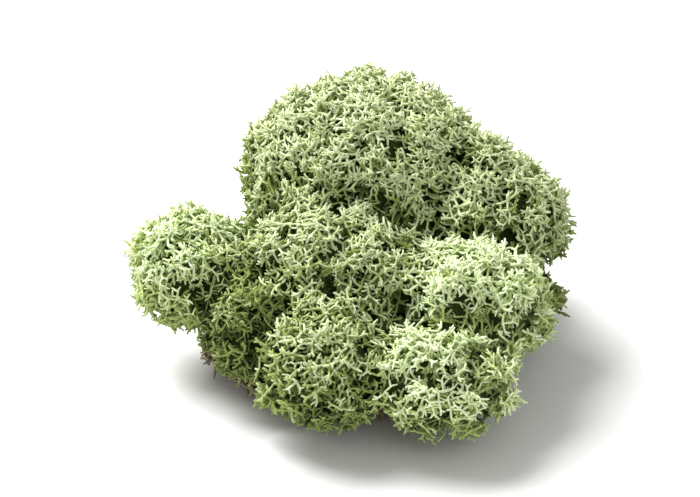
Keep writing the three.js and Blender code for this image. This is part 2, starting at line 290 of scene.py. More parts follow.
def grow(block, near, facing, along, length, narrow):
    """Extrudes the face that looks the given way, aims its end along a direction and narrows it."""
    start, normal = pick_face(block, near, facing)
    along = along.normalized()
    end = start + along * length
    bpy.ops.mesh.extrude_region_move(TRANSFORM_OT_translate={"value": along * length})
    bearing, rise = math.atan2(along.y, along.x), math.asin(max(-1, min(1, along.z)))
    was_rise = math.asin(max(-1, min(1, normal.z)))
    was_bearing = bearing if abs(normal.z) > NEARLY_UPRIGHT else math.atan2(normal.y, normal.x)
    turn(-was_bearing, "Z", end)
    turn(was_rise - rise, "Y", end)
    turn(bearing, "Z", end)
    bpy.ops.transform.resize(value=(narrow, narrow, narrow), center_override=end)
    return end


def way(bearing, rise):
    """The direction with this bearing and rise, in degrees."""
    b, r = math.radians(bearing), math.radians(rise)
    return Vector((math.cos(b) * math.cos(r), math.sin(b) * math.cos(r), math.sin(r)))


# %% [markdown]
# Real sprigs are never alike, so ten are grown from ten seeds. Which sides of the joint carry arms, how far
# each arm leans out and where its prongs point are all drawn at random from narrow ranges. Four more have
# thin, long arms. They are for the dark gaps, where a few wiry strands reach across.

# %% Ten sprigs of living lichen, and four wiry ones
STRAND = 0.65 * MM
SPRIG_KINDS = 10
WIRY_KINDS = 4
ARMS = (3, 3, 4)  # three arms are twice as likely as four
FOOT_WIDTH = 0.95  # these four are in widths of the strand
JOINT = 0.9  # length of the block at the joint
KNEE = 0.85  # length of the block at the end of an arm
SIDE = 0.4  # how far from the middle line a side face is looked for
SPREAD = 26  # degrees that an arm may point off its side of the joint
FORK = 32  # degrees that the first prong of an arm turns to one side
FORK_RISE = (-6, 24)  # degrees that it may rise above the arm, or drop below it
ASIDE_LEAN = 0.6  # the second prong grows sideways, and leans this much along the arm's bearing,
ASIDE_RISE = (-10, 45)  # at so many degrees above the level
TOP_RISE = 45  # degrees above the level of the prong on top of a joint with three arms
BLOCK_TAPER = 0.95
ARM_TAPER = 0.92
PRONG_TAPER = 0.7


def grow_sprig(name, seed, strand, foot, arm, rises, prong):
    """A forked sprig of strands this wide. foot, arm and prong are lengths.

    rises says how steeply, in degrees, the arms leave the joint.
    """
    dice = random.Random(seed)
    up = Vector((0, 0, 1))
    block = start_block(f"{name}_{seed}", strand * FOOT_WIDTH, foot)
    joint = grow(block, up * foot, up, up, strand * JOINT, BLOCK_TAPER)
    heart = joint - up * strand * JOINT / 2
    sides = dice.sample((0, 90, 180, 270), dice.choice(ARMS))
    for side in sides:
        bearing = side + dice.uniform(-SPREAD, SPREAD)
        rise = dice.uniform(*rises)
        out = way(bearing, rise)
        sideways = way(bearing + dice.choice((-90, 90)), 0)
        armpit = heart + way(side, 0) * strand / 2
        elbow = grow(block, armpit, way(side, 0), out, dice.uniform(*arm), ARM_TAPER)
        knee = grow(block, elbow, out, out, strand * KNEE, BLOCK_TAPER)
        ahead = way(bearing + dice.choice((-FORK, FORK)), rise + dice.uniform(*FORK_RISE))
        grow(block, knee, out, ahead, dice.uniform(*prong), PRONG_TAPER)
        aside = sideways + way(bearing, dice.uniform(*ASIDE_RISE)) * ASIDE_LEAN
        side_of_knee = knee - out * strand * KNEE / 2 + sideways * strand * SIDE
        grow(block, side_of_knee, sideways, aside, dice.uniform(*prong), PRONG_TAPER)
    if len(sides) == 3:
        grow(block, joint, up, way(dice.uniform(0, 360), TOP_RISE), dice.uniform(*prong), PRONG_TAPER)
    bpy.ops.object.mode_set(mode="OBJECT")
    return block


def faces_of(mesh):
    """The faces of a mesh as runs of point numbers, and how many points each has."""
    corners = np.concatenate([list(face.vertices) for face in mesh.polygons])
    return {"corners": corners, "sizes": np.array([len(face.vertices) for face in mesh.polygons])}


def as_kit(block):
    """A modelled piece as arrays, for copying: its faces, its points and its height."""
    points = np.empty(len(block.data.vertices) * 3)
    block.data.vertices.foreach_get("co", points)
    points = points.reshape(-1, 3)
    kit = {"points": points, "top": points[:, 2].max(), **faces_of(block.data)}
    bpy.data.objects.remove(block)
    return kit


def sprigs(kinds, first_seed, **shape):
    """As many sprigs of one shape, each from a seed of its own."""
    return [as_kit(grow_sprig(seed=first_seed + number, **shape)) for number in range(kinds)]


sprig_kit = sprigs(SPRIG_KINDS, first_seed=0, name="sprig", strand=STRAND, foot=2.7 * MM,
                   arm=(1.4 * MM, 2.4 * MM), rises=(-2, 26), prong=(1.0 * MM, 1.7 * MM))
wiry_kit = sprigs(WIRY_KINDS, first_seed=30, name="wiry", strand=STRAND * 0.85, foot=3.6 * MM,
                  arm=(2.4 * MM, 3.6 * MM), rises=(0, 48), prong=(1.6 * MM, 2.6 * MM))
print("faces of a sprig:", [len(k["sizes"]) for k in sprig_kit + wiry_kit],
      "tall in mm:", [round(k["top"] / MM, 1) for k in sprig_kit + wiry_kit])

# %% [markdown]
# ## Dead stems, modelled the same way
# Under the living heads the same lichen is old and bare. Dead sprigs have longer, steeper arms. Long stems
# are the third part: a block grown upwards in steps that wander, with a short twig at two of them. They
# will be laid down along the underside, so what is up here becomes outwards there.

# %% Twigs and long stems
STEM = 0.85 * MM
TWIG_KINDS = 5
STEM_KINDS = 6
FIRST_STEM_SEED = 80
STEM_STEPS = 6
STEM_STEP = 3.0 * MM
STEP_CHANGE = (0.8, 1.2)  # shortest and longest step, as a share of that
STEM_RISE = (70, 86)  # degrees above the level
STEM_KNEE_TAPER = 0.98
SIDE_TWIG = (2.5, 4.5)  # shortest and longest side twig of a stem, in mm
SIDE_TWIG_TAPER = 0.6


def grow_stem(seed):
    """A long bare stem that wanders as it rises, with a side twig at two of its bends."""
    dice = random.Random(seed)
    block = start_block(f"stem_{seed}", STEM, STEM_STEP)
    here, along = Vector((0, 0, STEM_STEP)), Vector((0, 0, 1))
    forks = dice.sample(range(1, STEM_STEPS - 1), 2)
    for step in range(STEM_STEPS):
        before, along = along, way(dice.uniform(0, 360), dice.uniform(*STEM_RISE))
        here = grow(block, here, before, along, STEM_STEP * dice.uniform(*STEP_CHANGE), BLOCK_TAPER)
        if step in forks:
            knee = grow(block, here, along, along, STEM * KNEE, STEM_KNEE_TAPER)
            side = way(dice.choice((0, 180)), 0)
            side_of_knee = (here + knee) / 2 + side * STEM * SIDE
            twig = dice.uniform(*SIDE_TWIG) * MM
            grow(block, side_of_knee, side, side + along, twig, SIDE_TWIG_TAPER)
            here = knee
    bpy.ops.object.mode_set(mode="OBJECT")
    return block


twig_kit = sprigs(TWIG_KINDS, first_seed=50, name="twig", strand=STEM, foot=3.2 * MM,
                  arm=(2.2 * MM, 3.6 * MM), rises=(25, 55), prong=(1.6 * MM, 2.8 * MM))
stem_kit = [as_kit(grow_stem(FIRST_STEM_SEED + number)) for number in range(STEM_KINDS)]
print("faces of a stem:", [len(k["sizes"]) for k in stem_kit],
      "long in mm:", [round(k["top"] / MM, 1) for k in stem_kit])

# %% [markdown]
# ## The skin of the clump
# The heads of a clump grow into each other, so the surface runs on from head to head and only dips between
# them. The imported solids give the shape, with coarse prongs and a thin gap at every wall. A Remesh modifier
# rebuilds copies of them from small even cubes, which closes the gaps, and a Smooth modifier wears the
# prongs down. Swelling and shrinking the skin with Displace modifiers fills the narrowest valleys. What is
# left is one even skin to plant sprigs on. Each head alone and the mat of stems are rebuilt in a plainer
# way, for the dark cores inside them, which stand in as painted shade for the dim tangle deep in the clump.

# %% Rebuilding imported solids as smooth skins
WELD = 0.01 * MM
CUBE = 1.5 * MM
FILL = 3.4 * MM  # valleys narrower than about twice this are filled
PROUD = 1.0 * MM  # the tips of the prongs stand this far out of the smoothed skin
CORE_CUBE = 2.2 * MM
MAT_CUBE = 1.8 * MM
MAT_SHRINK = 0.5 * MM


def finish_with(piece, steps):
    """Adds modifiers one after the other and applies each."""
    for kind, amount in steps:
        modifier = piece.modifiers.new(kind, kind)
        if kind == "REMESH":
            modifier.mode, modifier.voxel_size = "VOXEL", amount
        elif kind == "SMOOTH":
            modifier.iterations, modifier.factor = amount, 0.5
        elif kind == "DISPLACE":
            modifier.strength, modifier.mid_level = amount, 0
        bpy.ops.object.modifier_apply(modifier=modifier.name)


def keep_outer_shell(skin):
    """Deletes what isn't joined to the highest point, such as the walls of a pocket inside."""
    bpy.ops.object.mode_set(mode="EDIT")
    bpy.ops.mesh.select_all(action="DESELECT")
    mesh = bmesh.from_edit_mesh(skin.data)
    max(mesh.verts, key=lambda v: v.co.z).select_set(True)
    bmesh.update_edit_mesh(skin.data)
    bpy.ops.mesh.select_linked()
    bpy.ops.mesh.select_all(action="INVERT")
    bpy.ops.mesh.delete(type="VERT")
    bpy.ops.object.mode_set(mode="OBJECT")


def rebuilt(name, nodes, steps):
    """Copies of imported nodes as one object, welded and finished with modifiers."""
    bpy.ops.object.select_all(action="DESELECT")
    for node in nodes:
        copy = bpy.data.objects.new(name, frame["nodes"][node].data.copy())
        bpy.context.scene.collection.objects.link(copy)
        copy.select_set(True)
        bpy.context.view_layer.objects.active = copy
    if len(nodes) > 1:
        bpy.ops.object.join()
    skin = bpy.context.object
    bpy.ops.object.mode_set(mode="EDIT")
    bpy.ops.mesh.select_all(action="SELECT")
    bpy.ops.mesh.remove_doubles(threshold=WELD)
    bpy.ops.object.mode_set(mode="OBJECT")
    finish_with(skin, steps)
    keep_outer_shell(skin)
    return skin


clump_skin = rebuilt("clump_skin", heads, [
    ("REMESH", CUBE), ("SMOOTH", 8), ("DISPLACE", FILL),
    ("REMESH", CUBE), ("DISPLACE", PROUD - FILL), ("SMOOTH", 5)])
core_steps = [("REMESH", CORE_CUBE), ("SMOOTH", 4)]
cores = {node: rebuilt(node + "_core", [node], core_steps) for node in heads}
mat_core = rebuilt("mat_core", ["stem_mat"], [
    ("REMESH", MAT_CUBE), ("SMOOTH", 6), ("DISPLACE", -MAT_SHRINK)])
print("skin faces:", len(clump_skin.data.polygons),
      "core faces:", sum(len(core.data.polygons) for core in cores.values()))

# %% [markdown]
# A head is a bunch of buds, each as wide as a fingertip. Between two buds the skin dips a little, and where
# three meet there is often a dark hole. Cell noise gives that: in each cell of it the nearest seed point is
# the bud's middle. Where the second seed is hardly farther away there is a dip, and where the third is
# hardly farther there is a hole. One old head has come loose, so its dips and holes are wider.

# %% Dips between buds, and holes
BUD_SIZE = 12 * MM
DIP_WIDTH = 0.28  # in a dip the second seed is less than this farther off than the nearest, in buds
HOLE_WIDTH = 0.34  # and in a hole the third one is
LOOSE_HEAD = "head_hollow"
LOOSE_REACH = 7 * MM  # how far past the loose head its neighbours are loose too


def wall_of(meshes):
    """A search tree over the faces of some meshes."""
    points, faces = [], []
    for mesh in meshes:
        faces += [[i + len(points) for i in p.vertices] for p in mesh.polygons]
        points += [v.co.copy() for v in mesh.vertices]
    return BVHTree.FromPolygons(points, faces)


wall_of_head = [wall_of([frame["nodes"][node].data]) for node in heads]
loose_wall = wall_of_head[heads.index(LOOSE_HEAD)]


def looser(place):
    """1 on most heads, and up to 2 on the old loose one at the front left."""
    return 1 + max(0, 1 - loose_wall.find_nearest(place)[3] / LOOSE_REACH)


def dips(place):
    """How deep in the dip between two buds a place is, and in the hole between three, from 0 to 1."""
    first, second, third = noise.voronoi(Vector(place) / BUD_SIZE)[0][:3]
    wide = looser(place)
    dip = max(0, 1 - (second - first) / (DIP_WIDTH * wide))
    hole = max(0, 1 - (third - first) / (HOLE_WIDTH * wide))
    return dip, hole


loose_points = sum(looser(vertex.co) > 1 for vertex in clump_skin.data.vertices)
print("buds of about", BUD_SIZE / MM, "mm, looser at", loose_points, "points of the skin")

# %% [markdown]
# Where two heads meet there is a ragged valley: a place belongs to it when the second nearest head is
# hardly farther than the nearest one. Between the crown and the shoulder there is none. Those two have
# grown together, so the skin is raised there until it runs on in one slope.

# %% Valleys between heads, and a saddle
VALLEY_WIDTH = 5 * MM
RAGGED_SIZE = 10 * MM
RAGGED_MEAN = 0.35
RAGGED_SWING = 1.5
SADDLE_REACH = 18 * MM

crown_box, shoulder_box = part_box("head_crown"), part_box("head_shoulder")
between = (sum(crown_box, Vector()) + sum(shoulder_box, Vector())) / 4
# The saddle is at the crown's right end, half way between the two, as high as the shoulder's top.
SADDLE = Vector((crown_box[1].x, between.y, shoulder_box[1].z))


def saddle(place):
    """1 in the saddle between the crown and the shoulder, and 0 outside it, with a soft change."""
    near = max(0, 1 - (Vector(place) - SADDLE).length / SADDLE_REACH)
    return near * near * (3 - 2 * near)


def valley(place):
    """How far in the valley between two heads a place is, from 0 to 1, broken up by noise."""
    first, second = sorted(wall.find_nearest(place)[3] for wall in wall_of_head)[:2]
    ragged = RAGGED_MEAN + RAGGED_SWING * noise.noise(Vector(place) / RAGGED_SIZE)
    return min(1, max(0, 1 - (second - first) / VALLEY_WIDTH) * max(0, ragged)) * (1 - saddle(place))


print("saddle at, in mm:", [round(x / MM, 1) for x in SADDLE])

# %% [markdown]
# Now the skin is moved. Dips, holes and valleys sink it, the saddle raises it, and a slow second noise
# swells and sinks it, so that no head is a perfect ball.

# %% Shaping the skin
DIP_DEPTH = 1.7  # in mm, as all depths and heights of this cell are
HOLE_DEPTH = 4.2
VALLEY_DEPTH = 3.0
DEEPEST = 5.0  # that the three together go in at most
SADDLE_FILL = 5.5
SWELL_HEIGHT = 1.6
SWELL_SIZE = 13 * MM

unmoved_wall = wall_of([clump_skin.data])
moved = []
for vertex in clump_skin.data.vertices:
    dip, hole = dips(vertex.co)
    rise = SWELL_HEIGHT * noise.noise(vertex.co / SWELL_SIZE) + SADDLE_FILL * saddle(vertex.co)
    sink = min(DEEPEST, DIP_DEPTH * dip**2 + HOLE_DEPTH * hole**2 + VALLEY_DEPTH * valley(vertex.co))
    moved.append(vertex.co + vertex.normal * (rise - sink) * MM)
farthest = max((place - vertex.co).length for vertex, place in zip(clump_skin.data.vertices, moved))
for vertex, place in zip(clump_skin.data.vertices, moved):
    vertex.co = place
bpy.context.view_layer.objects.active = clump_skin
finish_with(clump_skin, [("SMOOTH", 2)])
print("skin moved by up to", round(farthest / MM, 1), "mm")

# %% [markdown]
# ## Where the sprigs stand
# Sprigs crowd each other evenly: never two on one spot and never a bald patch. Points drawn at random on a
# skin would do both, so more are drawn than needed and each one kept throws out those nearer than one
# spacing.

# %% Even random points
DRAWS = 6  # points drawn for each square of one spacing


def even_points(mesh, spacing, seed):
    """Evenly spread random points on a mesh, and the direction of its skin at each."""
    mesh.calc_loop_triangles()
    places = np.empty(len(mesh.vertices) * 3)
    mesh.vertices.foreach_get("co", places)
    normals = np.empty(len(mesh.vertices) * 3)
    mesh.vertex_normals.foreach_get("vector", normals)
    places, normals = places.reshape(-1, 3), normals.reshape(-1, 3)
    corners = np.empty(len(mesh.loop_triangles) * 3, int)
    mesh.loop_triangles.foreach_get("vertices", corners)
    corners = corners.reshape(-1, 3)
    a, b, c = (places[corners[:, i]] for i in range(3))
    area = np.linalg.norm(np.cross(b - a, c - a), axis=1) / 2
    dice = np.random.default_rng(seed)
    count = int(area.sum() / spacing**2 * DRAWS)
    chosen = dice.choice(len(area), count, p=area / area.sum())
    u, v = dice.random((2, count))
    over = u + v > 1
    u[over], v[over] = 1 - u[over], 1 - v[over]
    weights = np.stack([1 - u - v, u, v], 1)[:, :, None]
    spots = (places[corners[chosen]] * weights).sum(1)
    facing = (normals[corners[chosen]] * weights).sum(1)
    tree = KDTree(count)
    for i, spot in enumerate(spots):
        tree.insert(spot, i)
    tree.balance()
    free, kept = np.ones(count, bool), []
    for i in range(count):
        if free[i]:
            kept.append(i)
            for _, j, _ in tree.find_range(spots[i], spacing):
                free[j] = False
    facing = facing[kept] / np.linalg.norm(facing[kept], axis=1, keepdims=True)
    return spots[kept], facing


# %% [markdown]
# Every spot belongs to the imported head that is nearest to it, a little way under the skin. Nothing grows
# where the underside of a head lies on the mat of stems.

# %% Whose spot it is
PROBE_OUT = 2.0 * MM
PROBE_IN = 3 * MM
MAT_COVER = 1.2 * MM  # the mat covers what is nearer to it than this

head_wall = wall_of([frame["nodes"][node].data for node in heads])
faces_of_head = [len(frame["nodes"][node].data.polygons) for node in heads]
owner_of_face = np.repeat(np.arange(len(heads)), faces_of_head)
mat_wall = wall_of([mat_core.data])
skin_wall = wall_of([clump_skin.data])


def owner(spot, out):
    """The number of the head that a spot belongs to, or none if the mat covers it."""
    probe = Vector(spot + out * PROBE_OUT)
    if probe.z < 0 or mat_wall.find_nearest(probe)[3] < MAT_COVER:
        return None
    return owner_of_face[head_wall.find_nearest(Vector(spot - out * PROBE_IN))[2]]


# %% [markdown]
# ## Piles of copies
# Thousands of separate objects would be slow, so the copies of sprigs are collected in a pile for each head
# and written straight into one mesh later. A copy is a turned and scaled set of the modelled points. It
# stands on the skin, spun at random and leaning a little off the skin's direction.

# %% Adding copies to a pile
def empty_pile():
    """A pile with nothing in it yet."""
    return {"points": [], "corners": [], "sizes": [], "uv": [], "count": 0}


def add_to(pile, shape, points, uv):
    """Adds points, with the faces of a shape between them, and their places on the strand map."""
    pile["points"].append(points)
    pile["corners"].append(shape["corners"] + pile["count"])
    pile["sizes"].append(shape["sizes"])
    pile["uv"].append(uv)
    pile["count"] += len(points)


def triangles_in(pile):
    """How many triangles the faces of a pile make."""
    return sum(int((sizes - 2).sum()) for sizes in pile["sizes"])


def stood_on(dice, out, wobble):
    """Turns upright points to stand about along a direction, spun at random. Gives turn and direction."""
    lean = out + dice.normal(0, wobble, 3)
    lean /= np.linalg.norm(lean)
    side = np.cross(lean, (0.3, 0.9, 0.31))
    side /= np.linalg.norm(side)
    spin = dice.uniform(0, 2 * math.pi)
    x = side * math.cos(spin) + np.cross(lean, side) * math.sin(spin)
    return np.stack([x, np.cross(lean, x), lean]), lean


# %% [markdown]
# ## Painted shade and light on each sprig
# A strand low in the clump or deep in a gap gets little light, and one near the top is lit down to its root.
# Those are painted into each sprig's tones here, on top of what the lamps give. Its tones are pushed down by
# painted shade for its height, dips, gaps, how much sky its neighbours hide and a steep or hanging flank, and
# near the top its root and the deeper layer get painted light. A broad slow noise makes patches paler or
# darker at random. Each head also has an offset of its own, partly its own tone and partly painted shade.

# %% Painted shade by place
SKY = [way(0, 90)] + [way(bearing, rise) for rise in (22, 55) for bearing in (20, 92, 164, 236, 308)]
SKY_FROM = 3 * MM
SHADE_REACH = 30 * MM
# Weights of the painted shade; broad is a random change of tone.
SHADE_OF = {"low": 0.14, "dip": 0.12, "gap": 0.15, "closed": 0.6, "broad": 0.16}
FLANK_SHADE = 0.3
FLANK_EDGE = 0.35  # the flank begins where the skin faces up less than this
CLOSED_POWER = 1.5  # a little hidden sky counts for less than its share,
CLOSED_LIMIT = 1.5  # and at most for this times the lowness, so hardly at all near the top
BROAD_SIZE = 17 * MM
BROAD_START = Vector((3.1, 7.7, 1.9))
# The next three give painted light near the top of the clump: on the deeper layer and on the roots.
TOP_FADE = 1.7  # how fast the light of the top fades as lowness grows
DEEP_PAINTED_LIGHT = 0.45  # how much lighter the deeper layer is at the top
PAINTED_ROOT_LIGHT = 0.28
ALL_PALER = 0.04
SHADE_LIMITS = (-0.08, 0.62)
# Each head's offset: partly its own tone, partly painted shade, darker for the head in the hollow and the low
# heads.
HEAD_TONE_AND_SHADE = {"head_hollow": 0.24, "head_low_right": 0.08, "head_low_back": 0.08, "head_pale": -0.22,
             "head_front_right": -0.15, "head_shoulder": -0.05}


def lowness(spot):
    """0 at the top of the clump and 1 at the floor."""
    return 1 - spot[2] / packed_box[1].z


def closed_in(spot, out):
    """How much of the sky other parts of the clump hide from a spot, from 0 to 1."""
    start = Vector(spot + out * SKY_FROM)
    return sum(skin_wall.ray_cast(start, ray, SHADE_REACH)[0] is not None for ray in SKY) / len(SKY)


def shade_at(spot, out, number, dip, gap, darker):
    """How much painted shade a place puts on a sprig of this head, and how much painted light its root gets.
    """
    low = lowness(spot)
    high = max(0, 1 - TOP_FADE * low)
    closed = min(closed_in(spot, out)**CLOSED_POWER, CLOSED_LIMIT * low)
    broad = noise.noise(Vector(spot / BROAD_SIZE) + BROAD_START)
    flank = FLANK_SHADE * max(0, FLANK_EDGE - out[2]) + HEAD_TONE_AND_SHADE.get(heads[number], 0)
    shade = darker * (1 - DEEP_PAINTED_LIGHT * high) + SHADE_OF["low"] * low + SHADE_OF["dip"] * dip
    shade += SHADE_OF["gap"] * gap + SHADE_OF["closed"] * closed + SHADE_OF["broad"] * broad
    painted_root_light = PAINTED_ROOT_LIGHT * high * (1 - closed) * (1 - gap)
    return np.clip(shade + flank - ALL_PALER, *SHADE_LIMITS), painted_root_light


# %% [markdown]
# ## Planting the sprigs
# Two layers of sprigs stand at different depths, so the gaps between strands look down on more strands
# and not on a bare ball. The lower layer is painted darker, as painted shade. The skin has small pores too,
# where three cells of a fine cell noise meet: no sprig of the upper layer stands there, and the lower layer
# there gets still more painted shade. The lower a place, the wider its pores, and a young head has hardly
# any. In the deep gaps the upper layer is thinned and wiry, and the lower layer there gets the same extra
# painted shade. A sprig whose root would come out on the far side of a thin ridge is left out.

# %% Two layers of sprigs
# darker is painted shade: the lower layer is painted darker, the upper one a little paler.
LAYERS = (
    {"depth": 0.0, "spacing": 2.06 * MM, "darker": -0.04},
    {"depth": 2.0 * MM, "spacing": 2.4 * MM, "darker": 0.40},
)
GAP_EDGE = 0.38  # a spot lies in a gap from about this much of a hole or a valley on,
GAP_DOUBT = 0.12  # give or take this
SHALLOW = 2.0 * MM  # a gap that is less deep than this is dressed like open skin
UNDERSIDE = -0.35  # where the skin faces down more than this, fewer sprigs do
THINNED_IN_GAP = 0.5  # share of the upper sprigs that is left out in a gap,
THINNED_BELOW = 0.3  # and of all others on the underside
PORE_CELL = 5.5 * MM  # about how far the pores are apart
PORE_WIDTH = 0.4
TIGHT_TOP = 0.95  # how tight the skin is at the top, where 1 is a skin with no pores at all
LOOSER_BELOW = 0.88  # and how much less tight at the floor
TIGHT_HEAD = "head_tongue"  # a young head with hardly any pores
TIGHTER = 0.35  # how much tighter it is
GAP_PAINTED_SHADE = 0.25  # how much darker the lower layer is in a gap or a pore
WOBBLE = 0.15
SCALES = (0.78, 1.02)
DEPTH_DOUBT = 0.4 * MM
PATCH_SIZE = 11 * MM  # patches of one tint
TINT_MEAN, PATCH_SWING, TINT_SPREAD = 0.45, 0.35, 0.12
TINT_LIMITS = (0.06, 0.94)
TINT_GRAIN = 0.022  # what a tint changes by within a sprig, so that the mottling shows
SPRIG_SPREAD = 0.05  # how much lighter or darker one sprig is than another,
POINT_SPREAD = 0.04  # and one point of a sprig than another
MAP_LIMITS = (0.02, 0.98)
ROOT_COVER = 1.0 * MM  # a root has to lie this far under the skin


def in_pore(spot, number):
    """Whether a spot lies in a small dark pore."""
    first, _, third = noise.voronoi(Vector(spot / PORE_CELL))[0][:3]
    tight = TIGHT_TOP - LOOSER_BELOW * lowness(spot) + (TIGHTER if heads[number] == TIGHT_HEAD else 0)
    return 1 - (third - first) / PORE_WIDTH > tight


def bare_root(root):
    """Whether a root lies outside the skin, or hardly under it."""
    hit, normal, _, _ = skin_wall.find_nearest(Vector(root))
    return (Vector(root) - hit).dot(normal) > -ROOT_COVER


def plant(piles, dice, spot, out, layer):
    """Adds one sprig to the pile of the head that owns the spot."""
    number = owner(spot, out)
    dip, hole = dips(spot)
    gap = max(hole, valley(spot))
    in_gap = gap > GAP_EDGE + dice.uniform(-GAP_DOUBT, GAP_DOUBT)
    in_gap = in_gap and unmoved_wall.find_nearest(spot)[3] > SHALLOW
    upper = layer["depth"] == 0
    left_out = THINNED_IN_GAP if in_gap and upper else THINNED_BELOW if out[2] < UNDERSIDE else 0
    thinned = dice.random() < left_out
    if number is None or thinned:
        return
    pore = in_pore(spot, number)
    if pore and upper:
        return
    kits = wiry_kit if in_gap and upper else sprig_kit
    kit = kits[dice.integers(len(kits))]
    turned, lean = stood_on(dice, out, WOBBLE)
    scale = dice.uniform(*SCALES)
    root = spot - lean * (kit["top"] * scale + layer["depth"] - dice.uniform(-DEPTH_DOUBT, DEPTH_DOUBT))
    patch = noise.noise(Vector(spot / PATCH_SIZE))
    tint = np.clip(TINT_MEAN + PATCH_SWING * patch + dice.normal(0, TINT_SPREAD), *TINT_LIMITS)
    shade, painted_root_light = shade_at(spot, out, number, dip, gap, layer["darker"])
    # Painted shade: the lower layer is darker still in a gap or a pore.
    if (in_gap or pore) and not upper:
        shade += GAP_PAINTED_SHADE
    # The sprig's place between root and tip colour, pushed down by painted shade and lifted by painted root
    # light.
    height = painted_root_light + kit["points"][:, 2] / kit["top"] * (1 - shade - painted_root_light)
    height += dice.normal(0, SPRIG_SPREAD)
    height += dice.normal(0, POINT_SPREAD, len(height))
    tints = tint + dice.uniform(-TINT_GRAIN, TINT_GRAIN, len(height))
    if not bare_root(root):
        points = kit["points"] * scale @ turned + root
        add_to(piles[number], kit, points, np.stack([tints, height.clip(*MAP_LIMITS)], 1))


piles = [empty_pile() for _ in heads]
for seed, layer in enumerate(LAYERS):
    dice = np.random.default_rng(seed)
    for spot, out in zip(*even_points(clump_skin.data, layer["spacing"], seed)):
        plant(piles, dice, spot, out, layer)
print("sprig triangles:", sum(triangles_in(pile) for pile in piles))

# %% [markdown]
# The core of a head is a dark body that stands in as painted shade: deep in a real clump there is only a dim
# tangle of stems. It keeps its walls towards the other heads, and its outer side is pushed down to well
# under the skin, so all cores together fill the clump and no gap shows the other side. One long push would
# fold it at sharp edges. It is pushed in short steps, with a little smoothing after each.

# %% Dark cores, as painted shade
CORE_DEPTH = 5.0 * MM
PUSHES = 5
LONGEST_PUSH = 0.4 * CORE_DEPTH
BUMP_SIZE = 2.4 * MM
BUMP_HEIGHT = 0.9 * MM
CORE_SEED = 5
CORE_TINT = (0.4, 0.2)  # mean, and how much the bumps change it
# The cores sit near the near-black root colour, as painted shade.
CORE_LIGHT = (0.03, 0.05)  # the same for the place between root and tip
BARE_GRAIN = 0.02  # what a tint changes by from point to point


def push_under(core):
    """Moves the outer side of a core to under the clump's skin."""
    for _ in range(PUSHES):
        for vertex in core.data.vertices:
            hit, normal, _, _ = skin_wall.find_nearest(vertex.co)
            missing = CORE_DEPTH + (vertex.co - hit).dot(normal)
            if missing > 0:
                vertex.co -= normal * min(missing, LONGEST_PUSH)
        bpy.context.view_layer.objects.active = core
        finish_with(core, [("SMOOTH", 2)])


def bumps_at(places):
    """A noise of fine bumps at some places, about from -1 to 1."""
    return np.array([noise.noise(Vector(place) / BUMP_SIZE) for place in places])


def core_map(dice, bumps, tint, light):
    """The places of a core's points on the strand map, from its bumps."""
    grain = dice.uniform(-BARE_GRAIN, BARE_GRAIN, len(bumps))
    uv = np.stack([tint[0] + tint[1] * bumps + grain, light[0] + light[1] * bumps], 1)
    return uv.clip(*MAP_LIMITS)


def add_painted_shade_core(pile, mesh):
    """Adds a dark bumpy core, as painted shade, to a head's pile."""
    bumps = bumps_at(v.co for v in mesh.vertices)
    places = np.array([v.co - v.normal * (BUMP_HEIGHT * bump) for v, bump in zip(mesh.vertices, bumps)])
    uv = core_map(np.random.default_rng(CORE_SEED), bumps, CORE_TINT, CORE_LIGHT)
    add_to(pile, faces_of(mesh), places, uv)


# %% [markdown]
# Each pile becomes one mesh object. Its arrays are handed to Blender whole, which takes a moment instead of
# minutes. The object rides on the clump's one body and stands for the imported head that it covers.

# %% One piece for each head
LOWEST = 0.05 * MM  # nothing reaches nearer to the floor than this


def make_piece(name, pile):
    """One smooth mesh object from a pile, with the strand map on it."""
    parts = {key: np.concatenate(pile[key]) for key in ("points", "corners", "sizes", "uv")}
    parts["points"][:, 2] = np.maximum(parts["points"][:, 2], LOWEST)
    mesh = bpy.data.meshes.new(name)
    mesh.vertices.add(len(parts["points"]))
    mesh.vertices.foreach_set("co", parts["points"].astype(np.float32).ravel())
    mesh.loops.add(len(parts["corners"]))
    mesh.loops.foreach_set("vertex_index", parts["corners"].astype(np.int32))
    mesh.polygons.add(len(parts["sizes"]))
    starts = np.concatenate([[0], np.cumsum(parts["sizes"])[:-1]])
    mesh.polygons.foreach_set("loop_start", starts.astype(np.int32))
    mesh.update(calc_edges=True)
    mesh.validate()
    strand_map = mesh.uv_layers.new(name=STRAND_MAP)
    strand_map.uv.foreach_set("vector", parts["uv"][parts["corners"]].astype(np.float32).ravel())
    mesh.polygons.foreach_set("use_smooth", np.ones(len(parts["sizes"]), bool))
    piece = bpy.data.objects.new(name, mesh)
    bpy.context.scene.collection.objects.link(piece)
    return piece


for node, pile in zip(heads, piles):
    push_under(cores[node])
    add_painted_shade_core(pile, cores[node].data)
    piece = make_piece(node + "_moss", pile)
    piece.data.materials.append(finishes[slot_of[node]])
    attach(piece, "root")
    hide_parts(node)
    print(piece.name, "triangles:", triangles_in(pile))

# %% [markdown]
# ## The mat of dead stems
# The heads grow out of a flat tangle of dead stems, and the clump rests on it. On the underside the long
# stems lie over each other and run mostly outwards. Each copy is laid flat in its own direction, and each
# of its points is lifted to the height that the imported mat's underside has there, so the stem bends with
# the mat. A stem that would reach below the floor is raised as a whole, and one that would stick out too
# far is left out.

